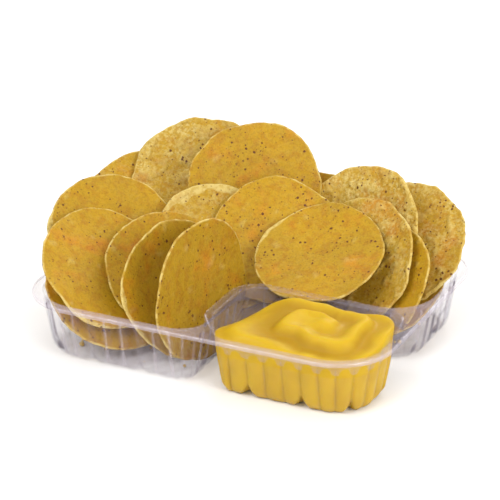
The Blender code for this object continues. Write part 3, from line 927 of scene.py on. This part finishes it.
def build_chips(chips):
    material = corn_material(chips)
    relief = fried_relief_tree()
    for number, node in enumerate(CHIP_NODES):
        rng = random.Random(FIRST_SEED + number)
        plate = build_chip_plate(node, chips, rng)
        pale = PALE_FACES.get(node, PLAIN_FACE)
        piece = relief.apply(plate, node.replace("chip", "corn", 1),
                             Blister_Height=chips.blister * (0.35 + 0.75 * pale),
                             Blister_Size=chips.blister_size, Blister_Cover=0.14 + 0.16 * pale,
                             Pebble_Height=chips.pebble * (0.7 + pale), Pebble_Size=chips.pebble_size,
                             Seed=0.37 * number, Material=material)
        hand_in(piece, "corn_chip", node)


# --- crumbs -----------------------------------------------
def crumb_tree():
    """Scatters uneven crumbs over a floor patch."""
    tree = GeometryTree("Crumb scatter")
    tree.named_inputs("Float", "Density", "Smallest", "Largest")
    tree.named_inputs("Int", "Seed")
    tree.named_inputs("Material", "Material")
    points = tree.node("GeometryNodeDistributePointsOnFaces", Mesh=tree.given("Geometry"),
                       Density=tree.given("Density"), Seed=tree.given("Seed"))
    crumb = tree.node("GeometryNodeMeshIcoSphere", Radius=1.0, Subdivisions=2)
    turn = tree.node("FunctionNodeRandomValue", Seed=tree.given("Seed"))
    turn.data_type = "FLOAT_VECTOR"
    tree.feed(turn, i1=(6.28, 6.28, 6.28))
    size = tree.node("FunctionNodeRandomValue", Seed=tree.given("Seed"))
    tree.feed(size, i2=tree.given("Smallest"), i3=tree.given("Largest"))
    placed = tree.node("GeometryNodeInstanceOnPoints", Points=points.outputs["Points"],
                       Instance=crumb.outputs["Mesh"], Rotation=turn.outputs[0], Scale=size.outputs[1])
    solid = tree.node("GeometryNodeRealizeInstances", Geometry=placed.outputs[0])
    position = tree.node("GeometryNodeInputPosition").outputs[0]
    texture = tree.node("ShaderNodeTexNoise", Vector=position, Scale=900.0, Detail=2.0)
    away = tree.vector("SCALE", tree.vector("SUBTRACT", texture.outputs[1], (0.5, 0.5, 0.5)), 1.5 * MM)
    uneven = tree.node("GeometryNodeSetPosition", Geometry=solid.outputs[0], Offset=away)
    smooth = tree.node("GeometryNodeSetShadeSmooth", Geometry=uneven.outputs[0])
    tree.end(smooth.outputs[0], tree.given("Material"))
    return tree


def crumb_material(chips):
    shader = Shader("Corn crumbs")
    base = shader.mix(shader.ranged(shader.noise(2 * MM, 2.0, 0.4), 0.35, 0.65), chips.golden, chips.cream)
    shader.bump(shader.noise(0.6 * MM, 2.0, 1.0), 0.5, 0.2 * MM)
    return shader.finish(Base_Color=base, Roughness=0.7)


def build_crumbs(crumbs, tray, chips):
    pocket = TrayShape(tray).chip_pocket()
    ring = pocket.ring(-tray.draft - tray.foot_tuck - 8 * MM, tray.sheet + 0.7 * MM)
    bm = bmesh.new()
    floor = add_ring(bm, ring)
    for index in range(len(floor)):
        bm.edges.new((floor[index - 1], floor[index]))
    fill_flat(bm, [floor])
    patch = new_object("pocket_floor", finished_mesh(bm, "pocket_floor"))
    piece = crumb_tree().apply(patch, "corn_crumbs", Density=crumbs.density,
                               Smallest=crumbs.smallest, Largest=crumbs.largest,
                               Seed=crumbs.seed, Material=crumb_material(chips))
    hand_in(piece, "corn_chip")


# --- stage ------------------------------------------------
def build_floor(stage):
    bm = bmesh.new()
    bmesh.ops.create_grid(bm, x_segments=1, y_segments=1, size=6.0)
    mesh = finished_mesh(bm, "floor")
    floor = new_object("floor", mesh)
    shader = Shader("Pale floor")
    mesh.materials.append(shader.finish(Base_Color=tuple(stage.floor), Roughness=0.6, Specular_IOR_Level=0.2))


def add_area_light(name, place, aim, size, power):
    light = bpy.data.lights.new(name, "AREA")
    light.shape = "DISK"
    light.size = size
    light.energy = power
    lamp = new_object(name, light)
    lamp.location = place
    lamp.rotation_euler = (Vector(aim) - Vector(place)).to_track_quat("-Z", "Y").to_euler()


def build_stage(stage, tray):
    build_floor(stage)
    aim = Vector((MIDDLE.x - 3.5 * MM, MIDDLE.y + 4.6 * MM, tray.height + 13 * MM))
    back = Vector((math.sin(stage.azimuth) * math.cos(stage.elevation),
                   -math.cos(stage.azimuth) * math.cos(stage.elevation), math.sin(stage.elevation)))
    camera_data = bpy.data.cameras.new("camera")
    camera_data.lens = stage.lens
    camera_data.sensor_width = 36.0
    camera = new_object("camera", camera_data)
    camera.location = aim + stage.distance * back
    camera.rotation_euler = back.to_track_quat("Z", "Y").to_euler()
    scene = bpy.context.scene
    scene.camera = camera
    add_area_light("key", (-0.35, -0.95, 1.15), aim, 0.9, 10.0)
    add_area_light("fill", (1.15, -0.55, 0.70), aim, 0.9, 10.0)
    add_area_light("back", (0.1, 1.1, 0.95), aim, 0.8, 7.0)
    scene.world = bpy.data.worlds.new("studio")
    scene.world.use_nodes = True
    sky = scene.world.node_tree.nodes["Background"].inputs
    sky["Color"].default_value = (1.0, 0.99, 0.975, 1.0)
    sky["Strength"].default_value = 0.85
    scene.view_settings.view_transform = "Standard"


# --- operators --------------------------------------------
class NACHOS_OT_tray(bpy.types.Operator):
    """Make the clear formed tray"""
    bl_idname = "nachos.tray"
    bl_label = "Clear tray"

    def execute(self, context):
        build_tray(context.scene.nachos_tray)
        return {"FINISHED"}


class NACHOS_OT_cheese(bpy.types.Operator):
    """Make the swirl of cheese in the small pocket"""
    bl_idname = "nachos.cheese"
    bl_label = "Cheese"

    def execute(self, context):
        build_cheese(context.scene.nachos_cheese, context.scene.nachos_tray)
        return {"FINISHED"}


class NACHOS_OT_chips(bpy.types.Operator):
    """Make the fried corn chips where the chip nodes lie"""
    bl_idname = "nachos.chips"
    bl_label = "Corn chips"

    def execute(self, context):
        build_chips(context.scene.nachos_chips)
        return {"FINISHED"}


class NACHOS_OT_crumbs(bpy.types.Operator):
    """Scatter crumbs over the floor of the chip pocket"""
    bl_idname = "nachos.crumbs"
    bl_label = "Crumbs"

    def execute(self, context):
        scene = context.scene
        build_crumbs(scene.nachos_crumbs, scene.nachos_tray, scene.nachos_chips)
        return {"FINISHED"}


class NACHOS_OT_stage(bpy.types.Operator):
    """Add the floor, the soft lights and the camera"""
    bl_idname = "nachos.stage"
    bl_label = "Stage"

    def execute(self, context):
        build_stage(context.scene.nachos_stage, context.scene.nachos_tray)
        return {"FINISHED"}


class NACHOS_PT_panel(bpy.types.Panel):
    """Lists the steps that make the nachos"""
    bl_idname = "NACHOS_PT_panel"
    bl_label = "Nachos with Cheese"
    bl_space_type = "VIEW_3D"
    bl_region_type = "UI"
    bl_category = "Nachos"

    def draw(self, context):
        for operator in OPERATORS:
            self.layout.operator(operator.bl_idname)


SETTINGS = {"nachos_tray": TraySettings, "nachos_cheese": CheeseSettings, "nachos_chips": ChipSettings,
            "nachos_crumbs": CrumbSettings, "nachos_stage": StageSettings}
OPERATORS = (NACHOS_OT_tray, NACHOS_OT_cheese, NACHOS_OT_chips, NACHOS_OT_crumbs, NACHOS_OT_stage)


def register():
    for name, group in SETTINGS.items():
        bpy.utils.register_class(group)
        setattr(bpy.types.Scene, name, PointerProperty(type=group))
    for cls in (*OPERATORS, NACHOS_PT_panel):
        bpy.utils.register_class(cls)


def unregister():
    for cls in reversed((*OPERATORS, NACHOS_PT_panel)):
        bpy.utils.unregister_class(cls)
    for name, group in SETTINGS.items():
        delattr(bpy.types.Scene, name)
        bpy.utils.unregister_class(group)


def main():
    register()
    for make in (bpy.ops.nachos.stage, bpy.ops.nachos.tray, bpy.ops.nachos.cheese, bpy.ops.nachos.chips,
                 bpy.ops.nachos.crumbs):
        make()


if __name__ == "__main__":
    main()
